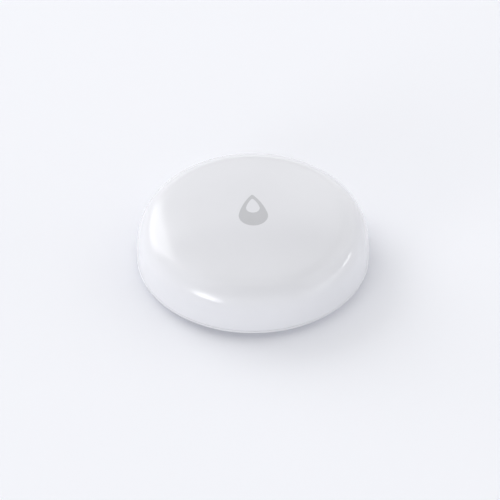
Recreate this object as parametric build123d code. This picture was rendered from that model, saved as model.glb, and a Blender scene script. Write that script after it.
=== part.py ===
from build123d import *
from math import asin, atan2, cos, degrees, hypot, pi, radians, sin, sqrt
import os

# Round domed water leak sensor. Millimetres, +Z up, X to the right and Y to the back.
# The origin is the middle of the floor area that it stands on.
# It is built round its coin cell: the heights stack up from the floor, and the radii go outwards
# from the cell, so that the body comes to 50 mm across and 15 mm high.

# Outer form of the dome: a side arc, a tight shoulder arc and a nearly flat crown, all tangent
rim_height = 2.2
widest_height = 3.0
side_arc_radius = 28.0
shoulder_radius = 7.0
crown_radius = 100.0
shell_wall = 1.5
shell_rim_round = 0.15

# Clearances that several pieces share
overrun = 1.0
seat_gap = 0.1
running_gap = 0.05
slip_gap = 0.15

# Drop symbol: a grey inlay in the crown with a smaller white drop left inside it
drop_width = 6.28
drop_length = 10.15
drop_flank_radius = 16.0
drop_inner_width = 2.94
drop_inner_length = 4.7
drop_inner_flank_radius = 7.0
drop_tip_band = 1.4
drop_tip_round = 0.25
drop_depth = 0.5

# Base shell
standoff = 0.6
base_wall = 1.4
base_undercut = 2.4
base_edge_round = 0.4
flange_thickness = 0.5
flange_edge_round = 0.15
spigot_wall = 1.5
spigot_height = 3.2
web_thickness = 1.0
web_height = 2.0
web_angles = (50.0, 130.0, 230.0, 310.0)
nub_radius = 1.5
nub_round = 0.25
shelf_wall = 1.2
shelf_overlap = 1.0
neck_wall = 1.1
roof_wall = 1.2
roof_step = 0.4

# Seal ring between the two shells
shell_seal_section = 1.0
shell_seal_lift = 1.0

# Coin cell and its pocket
cell_diameter = 20.0
cell_height = 3.2
cell_floor_gap = 0.2
cell_rim_width = 1.1
cell_cap_lift = 0.3
cell_cap_depth = 1.6
cell_gasket_wall = 0.4
cell_edge_round = 0.3
pocket_wall = 0.85

# Strip contacts of the cell
contact_thickness = 0.2
contact_width = 3.4
contact_slot_gap = 0.25
contact_foot = 2.0
contact_reach = 6.8

# Screw-off battery cover: three thread lugs on a skirt, and a slot for a coin
cover_thickness = 1.2
cover_overlap = 1.4
cover_edge_round = 0.2
skirt_gap = 0.6
skirt_wall = 1.5
thread_lead = 6.0
thread_starts = 3
thread_angle = 30.0
thread_width = 7.0
lug_reach = 0.85
lug_height = 0.75
ledge_height = 0.75
thread_gap = 0.1
thread_side_gap = 0.2
cover_seal_section = 1.0
seal_flange_height = 0.3
coin_slot_length = 16.0
coin_slot_width = 2.0
coin_slot_depth = 1.2
coin_slot_wall = 1.0
cell_pad_radius = 1.0
cell_pad_circle = 7.0
cell_pad_angles = (45.0, 135.0, 225.0, 315.0)
mark_depth = 0.15
mark_radius = 0.8
mark_ring_wall = 0.25
mark_inset = 1.5
mark_angle = -120.0
cover_turn_to_open = 300.0

# Screws that hold the shells together, from inside the battery bay
screw_count = 3
screw_angle = 90.0
screw_head_radius = 1.4
screw_head_height = 1.2
screw_shank_radius = 0.8
screw_shank_length = 4.8
screw_head_round = 0.35
screw_recess_width = 0.35
screw_recess_depth = 0.6
screw_side_gap = 0.1
screw_hole_gap = 0.15
pilot_gap = 0.03
boss_wall = 1.2
boss_shoulder = 0.7

# Sensing probes, which are screws with smooth heads that stand on the floor
probe_land = 0.6
probe_angles = (0.0, 180.0)
probe_head_radius = 1.9
probe_head_height = 1.2
probe_head_round = 0.5
probe_shank_radius = 1.0
probe_seal_height = 0.6
probe_seal_inset = 0.1
probe_boss_wall = 0.9
probe_boss_gap = 0.24
probe_boss_height = 3.0
probe_end = 0.4
washer_radius = 2.1
washer_thickness = 0.3
nut_across_flats = 3.6
nut_height = 1.2

# Circuit board
board_thickness = 1.0
board_lift = 0.4
board_edge_gap = 0.6
board_hole_gap = 0.2

# Push switch under the crown
switch_side = 4.5
switch_height = 1.2
switch_floor = 0.4
switch_well_radius = 1.8
switch_travel = 0.25
retainer_thickness = 0.2
retainer_margin = 0.15
plunger_radius = 1.1
plunger_flange_radius = 1.6
plunger_proud = 0.6
snap_dome_radius = 1.6
snap_dome_thickness = 0.08
terminal_length = 0.7
terminal_width = 0.6
terminal_thickness = 0.15
terminal_spacing = 3.0

# Light guide, which also passes a press on the crown down to the switch
guide_radius = 4.4
guide_plate = 0.8
guide_post_radius = 1.0
guide_post_height = 1.6
guide_gap = 0.1
collar_gap = 0.2
collar_wall = 0.8
collar_depth = 1.5

# Parts on the circuit board: length, width and height
led_size = (1.6, 0.8, 0.6)
led_lens_radius = 0.35
led_lens_height = 0.15
radio_chip_size = (6.0, 6.0, 0.9)
shield_size = (9.4, 8.4, 1.6)
shield_sheet = 0.2
shield_round = 0.4
crystal_size = (3.2, 2.5, 0.7)
memory_chip_size = (5.0, 4.0, 1.0)
chip_leg_size = (0.6, 0.4, 0.2)
chip_leg_pitch = 1.27
chip_leg_count = 4
inductor_size = (3.0, 3.0, 1.2)
inductor_core_radius = 1.1
inductor_core_depth = 0.3
capacitor_size = (1.6, 0.8, 0.8)
resistor_size = (1.6, 0.8, 0.5)
antenna_width = 0.8
antenna_edge_gap = 0.8
antenna_thickness = 0.1
antenna_angles = (55.0, 125.0)
antenna_leg = 2.6

# Places of the parts on the circuit board, as shares of its radius
led_place_share = (0.0, 0.18)
radio_place_share = (0.485, 0.11)
crystal_place_share = (-0.46, 0.27)
memory_place_share = (-0.5, 0.02)
inductor_place_share = (0.02, -0.68)
capacitor_place_shares = (
    (-0.3, -0.62), (-0.18, -0.62), (0.22, -0.62),
    (0.34, -0.62), (-0.36, 0.62), (-0.24, 0.62),
)
resistor_place_shares = (
    (-0.3, -0.5), (0.3, -0.5), (-0.42, 0.46),
    (0.3, 0.62), (0.42, 0.62), (0.42, 0.46),
)

# Heights, worked upwards from the floor
underside = standoff
cover_top = underside + cover_thickness
seat = cover_top + seat_gap
plate_top = underside + base_wall
shelf_top = seat + shelf_wall
flange_bottom = rim_height - flange_thickness
spigot_top = rim_height + spigot_height
trough_top = underside + coin_slot_depth + coin_slot_wall
cell_bottom = trough_top + cell_floor_gap
cell_top = cell_bottom + cell_height
roof = cell_top + contact_thickness
roof_top = roof + roof_wall
outer_roof = roof + roof_step
skirt_top = outer_roof - screw_head_height - slip_gap
board_bottom = roof_top + board_lift
board_top = board_bottom + board_thickness
retainer_bottom = board_top + switch_height
retainer_top = retainer_bottom + retainer_thickness
plunger_top = retainer_top + plunger_proud
guide_top = plunger_top + guide_post_height + guide_plate
crown_underside = guide_top + guide_gap
body_height = crown_underside + shell_wall

# Radii, worked outwards from the coin cell
cell_radius = cell_diameter / 2
cell_well = cell_radius - cell_rim_width
cell_cap_radius = cell_well - cell_gasket_wall
pocket_radius = cell_radius + slip_gap
pocket_outer = pocket_radius + pocket_wall
screw_circle = pocket_outer + screw_side_gap + screw_head_radius
skirt_inner = pocket_outer + skirt_gap
skirt_radius = skirt_inner + skirt_wall
lug_radius = skirt_radius + lug_reach
ledge_radius = skirt_radius + thread_side_gap
bay_radius = skirt_radius + cover_seal_section + 2 * running_gap
neck_radius = bay_radius + neck_wall
cover_radius = bay_radius + cover_overlap
counterbore_radius = cover_radius + slip_gap
shelf_radius = counterbore_radius + shelf_overlap
probe_recess = probe_head_radius + slip_gap
probe_boss_radius = probe_recess + probe_boss_wall
probe_circle = counterbore_radius + probe_land + probe_recess
spigot_inner = probe_circle + probe_boss_radius + probe_boss_gap
spigot_radius = spigot_inner + spigot_wall
shell_bore = spigot_radius + slip_gap
boss_hole = screw_shank_radius + pilot_gap
boss_radius = boss_hole + boss_wall
rest_inner = screw_circle + boss_radius + slip_gap

# Outer form from the bore outwards: the shoulder arc touches the crown arc and the side arc
shoulder_r = shell_bore + shell_wall - shoulder_radius
crown_centre_z = body_height - crown_radius
shoulder_z = crown_centre_z + sqrt((crown_radius - shoulder_radius) ** 2 - shoulder_r ** 2)
side_reach = side_arc_radius - shoulder_radius
side_centre_r = shoulder_r - sqrt(side_reach ** 2 - (shoulder_z - widest_height) ** 2)
side_end_angle = degrees(atan2(shoulder_z - widest_height, shoulder_r - side_centre_r))
shoulder_end_angle = degrees(atan2(shoulder_z - crown_centre_z, shoulder_r))
side_start_angle = degrees(asin((rim_height - widest_height) / side_arc_radius))
rim_radius = side_centre_r + side_arc_radius * cos(radians(side_start_angle))
groove_radius = shell_bore - running_gap - shell_seal_section - running_gap
shell_seal_z = rim_height + shell_seal_lift + shell_seal_section / 2
board_radius = spigot_inner - board_edge_gap
foot_radius = rim_radius - base_undercut


# Shapes that several pieces share

def disc(radius, low, high):
    return Pos(0, 0, low) * Cylinder(radius, high - low, align=(Align.CENTER, Align.CENTER, Align.MIN))


def ring(outer, inner, low, high):
    return disc(outer, low, high) - disc(inner, low - overrun, high + overrun)


def block(length, width, low, high):
    return Pos(0, 0, low) * Box(length, width, high - low, align=(Align.CENTER, Align.CENTER, Align.MIN))


def turned(section):
    return revolve(Plane.XZ * section, Axis.Z)


def round_ring(radius, height, section):
    return turned(Pos(radius, height) * Circle(section / 2))


def around(angle, radius):
    return Rot(0, 0, angle) * Pos(radius, 0, 0)


def screw_angles():
    return [screw_angle + 360 * index / screw_count for index in range(screw_count)]


def circles_at(solid, radius, height):
    """The round edges of a solid that lie on one circle about the main axis."""
    near = running_gap / 10
    found = []
    for edge in solid.edges().filter_by(GeomType.CIRCLE):
        centre = edge.arc_center
        if abs(edge.radius - radius) < near and abs(centre.Z - height) < near:
            if hypot(centre.X, centre.Y) < near:
                found.append(edge)
    return found


def board_place(share):
    return Pos(share[0] * board_radius, share[1] * board_radius, 0)


def chip(size):
    return block(size[0], size[1], board_top, board_top + size[2])


# Dome and its symbol

def dome_form():
    """The whole outside of the dome as one solid, down to the rim."""
    side_turn = side_end_angle - side_start_angle
    shoulder_turn = shoulder_end_angle - side_end_angle
    crown_turn = 90 - shoulder_end_angle
    side = CenterArc((side_centre_r, widest_height), side_arc_radius, side_start_angle, side_turn)
    shoulder = CenterArc((shoulder_r, shoulder_z), shoulder_radius, side_end_angle, shoulder_turn)
    crown = CenterArc((0, crown_centre_z), crown_radius, shoulder_end_angle, crown_turn)
    edges = Polyline((0, body_height), (0, rim_height), (rim_radius, rim_height))
    return turned(make_face(side + shoulder + crown + edges))


def cavity_form():
    """The hollow of the dome: a straight bore, then the shoulder and crown one wall further in."""
    crown_turn = 90 - shoulder_end_angle
    shoulder = CenterArc((shoulder_r, shoulder_z), shoulder_radius - shell_wall, 0, shoulder_end_angle)
    crown = CenterArc((0, crown_centre_z), crown_radius - shell_wall, shoulder_end_angle, crown_turn)
    edges = Polyline(
        (0, crown_underside),
        (0, rim_height - overrun),
        (shell_bore, rim_height - overrun),
        (shell_bore, shoulder_z),
    )
    return turned(make_face(shoulder + crown + edges))


def drop_outline(width, length, flank_radius):
    """A drop: a round belly and two slightly bowed flanks that meet in a tip towards the back."""
    radius = width / 2
    belly = radius - length / 2
    rise = length - radius
    below = (2 * radius * flank_radius - radius ** 2 - rise ** 2) / (2 * rise)
    aside = sqrt((flank_radius - radius) ** 2 - below ** 2)
    low = degrees(atan2(below, aside))
    high = degrees(atan2(rise + below, aside))
    right = CenterArc((-aside, belly - below), flank_radius, low, high - low)
    left = CenterArc((aside, belly - below), flank_radius, 180 - high, high - low)
    drop = make_face(right + left + CenterArc((0, belly), radius, 180 - low, 180 + 2 * low))
    return fillet(drop.vertices().sort_by(Axis.Y)[-1], drop_tip_round)


def drop_prism():
    inner_place = drop_length / 2 - drop_tip_band - drop_inner_length / 2
    symbol = drop_outline(drop_width, drop_length, drop_flank_radius)
    inner = drop_outline(drop_inner_width, drop_inner_length, drop_inner_flank_radius)
    symbol -= Pos(0, inner_place) * inner
    return extrude(Pos(0, 0, body_height - drop_depth) * symbol, drop_depth + overrun)


def top_shell():
    form = dome_form()
    shell = form - cavity_form()
    collar_inner = guide_radius + collar_gap
    posts = ring(collar_inner + collar_wall, collar_inner, crown_underside - collar_depth, body_height)
    for angle in screw_angles():
        place = around(angle, screw_circle)
        posts += place * disc(boss_radius, roof_top, body_height)
        posts += place * disc(boss_radius + boss_shoulder, board_top, body_height)
    shell += posts & form
    pilot = disc(boss_hole, roof_top - overrun, roof + screw_shank_length + slip_gap)
    for angle in screw_angles():
        shell -= around(angle, screw_circle) * pilot
    shell = fillet(circles_at(shell, rim_radius, rim_height), shell_rim_round)
    return shell - drop_prism()


def drop_window():
    return drop_prism() & dome_form()


# Base shell and the seal between the shells

def base_section():
    """Half section from the rim inwards: flange, spigot with its groove, floor, neck and cell bay."""
    groove_low = shell_seal_z - shell_seal_section / 2 - running_gap
    groove_high = shell_seal_z + shell_seal_section / 2 + running_gap
    return make_face(Polyline(
        (counterbore_radius, underside),
        (foot_radius, underside),
        (rim_radius, flange_bottom),
        (rim_radius, rim_height),
        (spigot_radius, rim_height),
        (spigot_radius, groove_low),
        (groove_radius, groove_low),
        (groove_radius, groove_high),
        (spigot_radius, groove_high),
        (spigot_radius, spigot_top),
        (spigot_inner, spigot_top),
        (spigot_inner, plate_top),
        (shelf_radius, plate_top),
        (shelf_radius, shelf_top),
        (neck_radius, shelf_top),
        (neck_radius, board_bottom),
        (rest_inner, board_bottom),
        (rest_inner, roof_top),
        (0, roof_top),
        (0, roof),
        (pocket_radius, roof),
        (pocket_radius, cell_bottom),
        (pocket_outer, cell_bottom),
        (pocket_outer, outer_roof),
        (bay_radius, outer_roof),
        (bay_radius, seat),
        (counterbore_radius, seat),
        close=True,
    ))


def thread_sector(inner, outer, low, height):
    """One leaning piece of thread between two radii. Its middle lies on +X, with its foot at low."""
    middle = (skirt_radius + bay_radius) / 2
    lean = degrees(atan2(thread_lead, 2 * pi * middle))
    bar = Rot(lean, 0, 0) * block(2 * (outer - inner), thread_width, 0, height)
    return Pos(middle, 0, low) * bar & ring(outer, inner, low - thread_lead, low + thread_lead)


def thread_angles():
    return [thread_angle + 360 * index / thread_starts for index in range(thread_starts)]


def lug_bottom():
    """Height of a lug's middle, so that its high end is level with the top of the skirt."""
    rise = thread_lead * thread_width / (2 * pi * (skirt_radius + bay_radius))
    return skirt_top - rise - lug_height


def probe_boss():
    """Boss with a counterbore below for the probe's head and its seal, centred on the main axis."""
    top = plate_top + probe_boss_height
    boss = disc(probe_boss_radius, underside, top)
    bore = disc(probe_recess, underside - overrun, probe_head_height + probe_seal_height)
    return boss, bore + disc(probe_shank_radius + running_gap, underside, top + overrun)


def web():
    middle = (neck_radius + spigot_inner) / 2
    length = spigot_inner - neck_radius + slip_gap
    return Pos(middle, 0, 0) * block(length, web_thickness, underside, plate_top + web_height)


def base_shell():
    shell = turned(base_section())
    shell = fillet(circles_at(shell, foot_radius, underside), base_edge_round)
    shell = fillet(circles_at(shell, rim_radius, flange_bottom), flange_edge_round)
    ledge_low = lug_bottom() - thread_gap - ledge_height
    ledge = thread_sector(ledge_radius, bay_radius + slip_gap, ledge_low, ledge_height)
    for angle in thread_angles():
        shell += Rot(0, 0, angle) * ledge
    for angle in web_angles:
        shell += Rot(0, 0, angle) * web()
    boss, bore = probe_boss()
    nub = fillet(disc(nub_radius, 0, plate_top).edges().sort_by(Axis.Z)[0], nub_round)
    for angle in probe_angles:
        shell += around(angle, probe_circle) * boss + Rot(0, 0, angle) * web()
        shell -= around(angle, probe_circle) * bore
        shell += around(angle + 90, probe_circle) * nub
    shell -= disc(counterbore_radius, underside - overrun, seat)
    screw_hole = disc(screw_shank_radius + screw_hole_gap, roof, board_bottom)
    for angle in screw_angles():
        shell -= around(angle, screw_circle) * screw_hole
    shell -= negative_slot() + positive_slot()
    closed_mark = extrude(Circle(mark_radius), mark_depth)
    open_mark = extrude(Circle(mark_radius) - Circle(mark_radius - mark_ring_wall), mark_depth)
    mark_circle = counterbore_radius + mark_inset
    shell -= around(mark_angle, mark_circle) * Pos(0, 0, underside) * closed_mark
    shell -= around(mark_angle - cover_turn_to_open, mark_circle) * Pos(0, 0, underside) * open_mark
    return shell


def shell_seal():
    middle = groove_radius + running_gap + shell_seal_section / 2
    return round_ring(middle, shell_seal_z, shell_seal_section)


# Battery cover and its seal

def battery_cover():
    cover = disc(cover_radius, underside, cover_top) + ring(skirt_radius, skirt_inner, cover_top, skirt_top)
    flange_low = cover_top + cover_seal_section + 2 * running_gap
    cover += ring(lug_radius, skirt_inner, flange_low, flange_low + seal_flange_height)
    cover = fillet(circles_at(cover, cover_radius, underside), cover_edge_round)
    lug = thread_sector(skirt_radius - slip_gap, lug_radius, lug_bottom(), lug_height)
    for angle in thread_angles():
        cover += Rot(0, 0, angle) * lug
    trough = SlotOverall(coin_slot_length + 2 * coin_slot_wall, coin_slot_width + 2 * coin_slot_wall)
    cover += Pos(0, 0, cover_top) * extrude(trough, trough_top - cover_top)
    pad = disc(cell_pad_radius, cover_top, trough_top + running_gap)
    for angle in cell_pad_angles:
        cover += around(angle, cell_pad_circle) * pad
    slot = SlotOverall(coin_slot_length, coin_slot_width)
    cover -= Pos(0, 0, underside) * extrude(slot, coin_slot_depth)
    arrow = extrude(RegularPolygon(mark_radius, 3), mark_depth)
    return cover - around(mark_angle, cover_radius - mark_inset) * Pos(0, 0, underside) * arrow


def battery_cover_seal():
    middle = skirt_radius + running_gap + cover_seal_section / 2
    return round_ring(middle, cover_top + running_gap + cover_seal_section / 2, cover_seal_section)


# Coin cell and its contacts

def coin_cell_can():
    can = disc(cell_radius, cell_bottom, cell_top - cell_cap_lift)
    can = fillet(can.edges().filter_by(GeomType.CIRCLE), cell_edge_round)
    return can - disc(cell_well, cell_top - cell_cap_depth, cell_top)


def coin_cell_gasket():
    return ring(cell_well, cell_cap_radius, cell_top - cell_cap_depth, cell_top - cell_cap_lift)


def coin_cell_cap():
    cap = disc(cell_cap_radius, cell_top - cell_cap_depth, cell_top)
    return fillet(circles_at(cap, cell_cap_radius, cell_top), cell_cap_lift / 2)


def battery_negative_contact():
    """A leaf on the cell's cap, a leg up through the roof and a foot under the board."""
    leaf = Pos(-contact_reach / 2, 0, 0) * block(contact_reach, contact_width, cell_top, roof)
    leg_place = Pos(-contact_reach + contact_thickness / 2, 0, 0)
    leg = leg_place * block(contact_thickness, contact_width, cell_top, board_bottom)
    foot_place = Pos(-contact_reach - contact_foot / 2, 0, 0)
    foot_low = board_bottom - contact_thickness
    foot = foot_place * block(contact_foot, contact_width, foot_low, board_bottom)
    return leaf + leg + foot


def negative_slot():
    place = Pos(-contact_reach + contact_thickness / 2, 0, 0)
    opening = contact_thickness + 2 * contact_slot_gap
    return place * block(opening, contact_width + 2 * contact_slot_gap, roof, roof_top)


def battery_positive_contact():
    """A leg that bears on the side of the cell, through the roof, with a foot under the board."""
    leg_place = Pos(0, -cell_radius - contact_thickness / 2, 0)
    leg_low = cell_bottom + cell_edge_round
    leg = leg_place * block(contact_width, contact_thickness, leg_low, board_bottom)
    foot_place = Pos(0, -cell_radius - contact_foot / 2, 0)
    foot_low = board_bottom - contact_thickness
    return leg + foot_place * block(contact_width, contact_foot, foot_low, board_bottom)


def positive_slot():
    width = contact_width + 2 * contact_slot_gap
    outer = pocket_outer + slip_gap
    inner = cell_radius - contact_slot_gap
    window = Pos(0, -(inner + outer) / 2, 0) * block(width, outer - inner, cell_bottom - overrun, roof)
    opening = contact_thickness + 2 * contact_slot_gap
    roof_slot = Pos(0, -cell_radius - contact_thickness / 2, 0) * block(width, opening, roof, roof_top)
    return window + roof_slot


# Screws and probes

def shell_screws():
    head_bottom = outer_roof - screw_head_height
    head = disc(screw_head_radius, head_bottom, outer_roof)
    head = fillet(head.edges().filter_by(GeomType.CIRCLE).sort_by(Axis.Z)[0], screw_head_round)
    screw = head + disc(screw_shank_radius, outer_roof, roof + screw_shank_length)
    for angle in (0, 90):
        cross = block(screw_head_radius, screw_recess_width, head_bottom, head_bottom + screw_recess_depth)
        screw -= Rot(0, 0, angle) * cross
    return Compound(children=[around(angle, screw_circle) * screw for angle in screw_angles()])


def probe():
    """A probe on the main axis: a smooth rounded head on the floor and a shank up through the board."""
    head = disc(probe_head_radius, 0, probe_head_height)
    head = fillet(head.edges().filter_by(GeomType.CIRCLE).sort_by(Axis.Z)[0], probe_head_round)
    end = board_top + washer_thickness + nut_height + probe_end
    return head + disc(probe_shank_radius, probe_head_height, end)


def probe_seal():
    outer = probe_head_radius - probe_seal_inset
    inner = probe_shank_radius + running_gap
    return ring(outer, inner, probe_head_height, probe_head_height + probe_seal_height)


def probe_washer():
    return ring(washer_radius, probe_shank_radius + running_gap, board_top, board_top + washer_thickness)


def probe_nut():
    hexagon = RegularPolygon(nut_across_flats / 2, 6, major_radius=False)
    low = board_top + washer_thickness
    nut = Pos(0, 0, low) * extrude(hexagon, nut_height)
    return nut - disc(probe_shank_radius + running_gap, low - overrun, low + nut_height + overrun)


# Circuit board and what stands on it

def circuit_board():
    board = disc(board_radius, board_bottom, board_top)
    boss_clearance = disc(boss_radius + board_hole_gap, roof_top, board_top + overrun)
    for angle in screw_angles():
        board -= around(angle, screw_circle) * boss_clearance
    probe_clearance = disc(probe_shank_radius + board_hole_gap, roof_top, board_top + overrun)
    for angle in probe_angles:
        board -= around(angle, probe_circle) * probe_clearance
    return board


def switch_housing():
    body = block(switch_side, switch_side, board_top, retainer_bottom)
    return body - disc(switch_well_radius, board_top + switch_floor, retainer_bottom + overrun)


def switch_retainer():
    side = switch_side - 2 * retainer_margin
    plate = block(side, side, retainer_bottom, retainer_top)
    return plate - disc(plunger_radius + running_gap, board_top, retainer_top + overrun)


def switch_plunger():
    flange_top = retainer_bottom - running_gap
    flange = disc(plunger_flange_radius, flange_top - switch_travel, flange_top)
    return flange + disc(plunger_radius, flange_top, plunger_top)


def switch_snap_dome():
    """A thin sprung disc that arches up from the floor of the switch to the plunger's lower limit."""
    low = board_top + switch_floor
    rise = switch_height - switch_floor - 2 * running_gap - 2 * switch_travel - snap_dome_thickness
    bend = (snap_dome_radius ** 2 + rise ** 2) / (2 * rise)
    cap = Pos(0, 0, low + rise - bend) * (Sphere(bend + snap_dome_thickness) - Sphere(bend))
    return cap & disc(snap_dome_radius, low, low + rise + 2 * snap_dome_thickness)


def switch_terminals():
    reach = switch_side / 2 + terminal_length / 2
    leg = block(terminal_length, terminal_width, board_top, board_top + terminal_thickness)
    half = terminal_spacing / 2
    return Compound(children=[Pos(x, y, 0) * leg for x in (-reach, reach) for y in (-half, half)])


def light_guide():
    plate = disc(guide_radius, guide_top - guide_plate, guide_top)
    return plate + disc(guide_post_radius, plunger_top, guide_top - guide_plate)


def status_led():
    lamp = chip(led_size)
    top = board_top + led_size[2]
    return board_place(led_place_share) * (lamp + disc(led_lens_radius, top, top + led_lens_height))


def radio_chip():
    return board_place(radio_place_share) * chip(radio_chip_size)


def radio_shield():
    length, width, height = shield_size
    box = chip(shield_size)
    box = fillet(box.edges().filter_by(Axis.Z), shield_round)
    hollow_length = length - 2 * shield_sheet
    hollow_width = width - 2 * shield_sheet
    hollow = block(hollow_length, hollow_width, board_top - overrun, board_top + height - shield_sheet)
    hollow = fillet(hollow.edges().filter_by(Axis.Z), shield_round - shield_sheet)
    return board_place(radio_place_share) * (box - hollow)


def crystal():
    return board_place(crystal_place_share) * chip(crystal_size)


def memory_chip():
    body = chip(memory_chip_size)
    length, width, height = chip_leg_size
    reach = memory_chip_size[1] / 2 + length / 2
    for index in range(chip_leg_count):
        x = (index - (chip_leg_count - 1) / 2) * chip_leg_pitch
        for side in (-reach, reach):
            body += Pos(x, side, 0) * block(width, length, board_top, board_top + height)
    return board_place(memory_place_share) * body


def inductor():
    top = board_top + inductor_size[2]
    body = chip(inductor_size)
    body = fillet(body.edges().filter_by(Axis.Z), shield_round)
    body -= disc(inductor_core_radius, top - inductor_core_depth, top)
    return board_place(inductor_place_share) * body


def chip_group(size, place_shares):
    return Compound(children=[board_place(share) * chip(size) for share in place_shares])


def antenna_trace():
    """A copper track along the back edge of the board, with two legs inwards."""
    outer = board_radius - antenna_edge_gap
    inner = outer - antenna_width
    top = board_top + antenna_thickness
    start, end = antenna_angles
    arc = CenterArc((0, 0), (outer + inner) / 2, start, end - start)
    track = extrude(Pos(0, 0, board_top) * trace(arc, antenna_width), antenna_thickness)
    leg = block(antenna_leg + antenna_width, antenna_width, board_top, top)
    for angle in (start, end):
        track += around(angle, inner - antenna_leg / 2) * leg
    return track


def probe_node(maker, angle):
    return around(angle, probe_circle) * maker()


nodes = {
    "top_shell": top_shell(),
    "drop_window": drop_window(),
    "base_shell": base_shell(),
    "shell_seal": shell_seal(),
    "shell_screws": shell_screws(),
    "battery_cover": battery_cover(),
    "battery_cover_seal": battery_cover_seal(),
    "coin_cell_can": coin_cell_can(),
    "coin_cell_gasket": coin_cell_gasket(),
    "coin_cell_cap": coin_cell_cap(),
    "battery_negative_contact": battery_negative_contact(),
    "battery_positive_contact": battery_positive_contact(),
    "probe_left": probe_node(probe, 180),
    "probe_right": probe_node(probe, 0),
    "probe_seal_left": probe_node(probe_seal, 180),
    "probe_seal_right": probe_node(probe_seal, 0),
    "probe_washer_left": probe_node(probe_washer, 180),
    "probe_washer_right": probe_node(probe_washer, 0),
    "probe_nut_left": probe_node(probe_nut, 180),
    "probe_nut_right": probe_node(probe_nut, 0),
    "circuit_board": circuit_board(),
    "switch_housing": switch_housing(),
    "switch_retainer": switch_retainer(),
    "switch_plunger": switch_plunger(),
    "switch_snap_dome": switch_snap_dome(),
    "switch_terminals": switch_terminals(),
    "light_guide": light_guide(),
    "status_led": status_led(),
    "radio_chip": radio_chip(),
    "radio_shield": radio_shield(),
    "crystal": crystal(),
    "memory_chip": memory_chip(),
    "inductor": inductor(),
    "capacitors": chip_group(capacitor_size, capacitor_place_shares),
    "resistors": chip_group(resistor_size, resistor_place_shares),
    "antenna_trace": antenna_trace(),
}

os.makedirs("parts", exist_ok=True)
for name, solid in nodes.items():
    export_step(solid, os.path.join("parts", name + ".step"))
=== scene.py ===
from math import acos, atan2, cos, degrees, pi, radians, sin, sqrt, tan
import bpy
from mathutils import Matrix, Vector


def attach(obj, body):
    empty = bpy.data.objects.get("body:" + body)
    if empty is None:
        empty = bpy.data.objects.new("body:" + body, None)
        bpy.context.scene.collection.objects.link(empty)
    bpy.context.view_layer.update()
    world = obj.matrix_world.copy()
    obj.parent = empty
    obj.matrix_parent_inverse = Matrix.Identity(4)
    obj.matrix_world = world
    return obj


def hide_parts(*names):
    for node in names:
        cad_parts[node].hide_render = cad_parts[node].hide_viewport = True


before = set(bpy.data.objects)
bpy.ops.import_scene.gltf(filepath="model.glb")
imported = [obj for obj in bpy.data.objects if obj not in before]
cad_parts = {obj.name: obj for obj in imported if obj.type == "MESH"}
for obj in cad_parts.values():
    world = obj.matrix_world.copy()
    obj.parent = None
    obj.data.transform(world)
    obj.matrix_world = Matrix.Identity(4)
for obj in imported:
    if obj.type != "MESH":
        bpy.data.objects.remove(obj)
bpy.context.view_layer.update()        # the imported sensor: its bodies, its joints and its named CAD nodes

mm = 0.001        # sizes are written in millimetres, and Blender works in metres

# Camera: a very long lens, 41 degrees above the floor and a little left of the sensor's front.
# It aims just above and left of the sensor's middle, as the picture is framed.
camera_height = radians(41.44)
camera_turn = radians(2.37)
camera_distance = 2500 * mm
view_width = 107.76 * mm
aim_left = 0.64 * mm
aim_up = 2.53 * mm
camera_data = bpy.data.cameras.new("camera")
camera_data.sensor_width = 36
camera_data.lens = camera_data.sensor_width * camera_distance / view_width
camera = bpy.data.objects.new("camera", camera_data)
bpy.context.collection.objects.link(camera)
camera.rotation_euler = (pi / 2 - camera_height, 0, -camera_turn)
camera.location = camera.rotation_euler.to_matrix() @ Vector((-aim_left, aim_up, camera_distance))
bpy.context.scene.camera = camera
bpy.context.scene.view_settings.view_transform = "Standard"

# Studio lamps: large softboxes that fade out towards their edges. The key is at the back left, a
# low strip at the front left draws the streak on the shoulder, and weaker ones fill all round.
lamp_distance = 3.0        # metres


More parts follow.
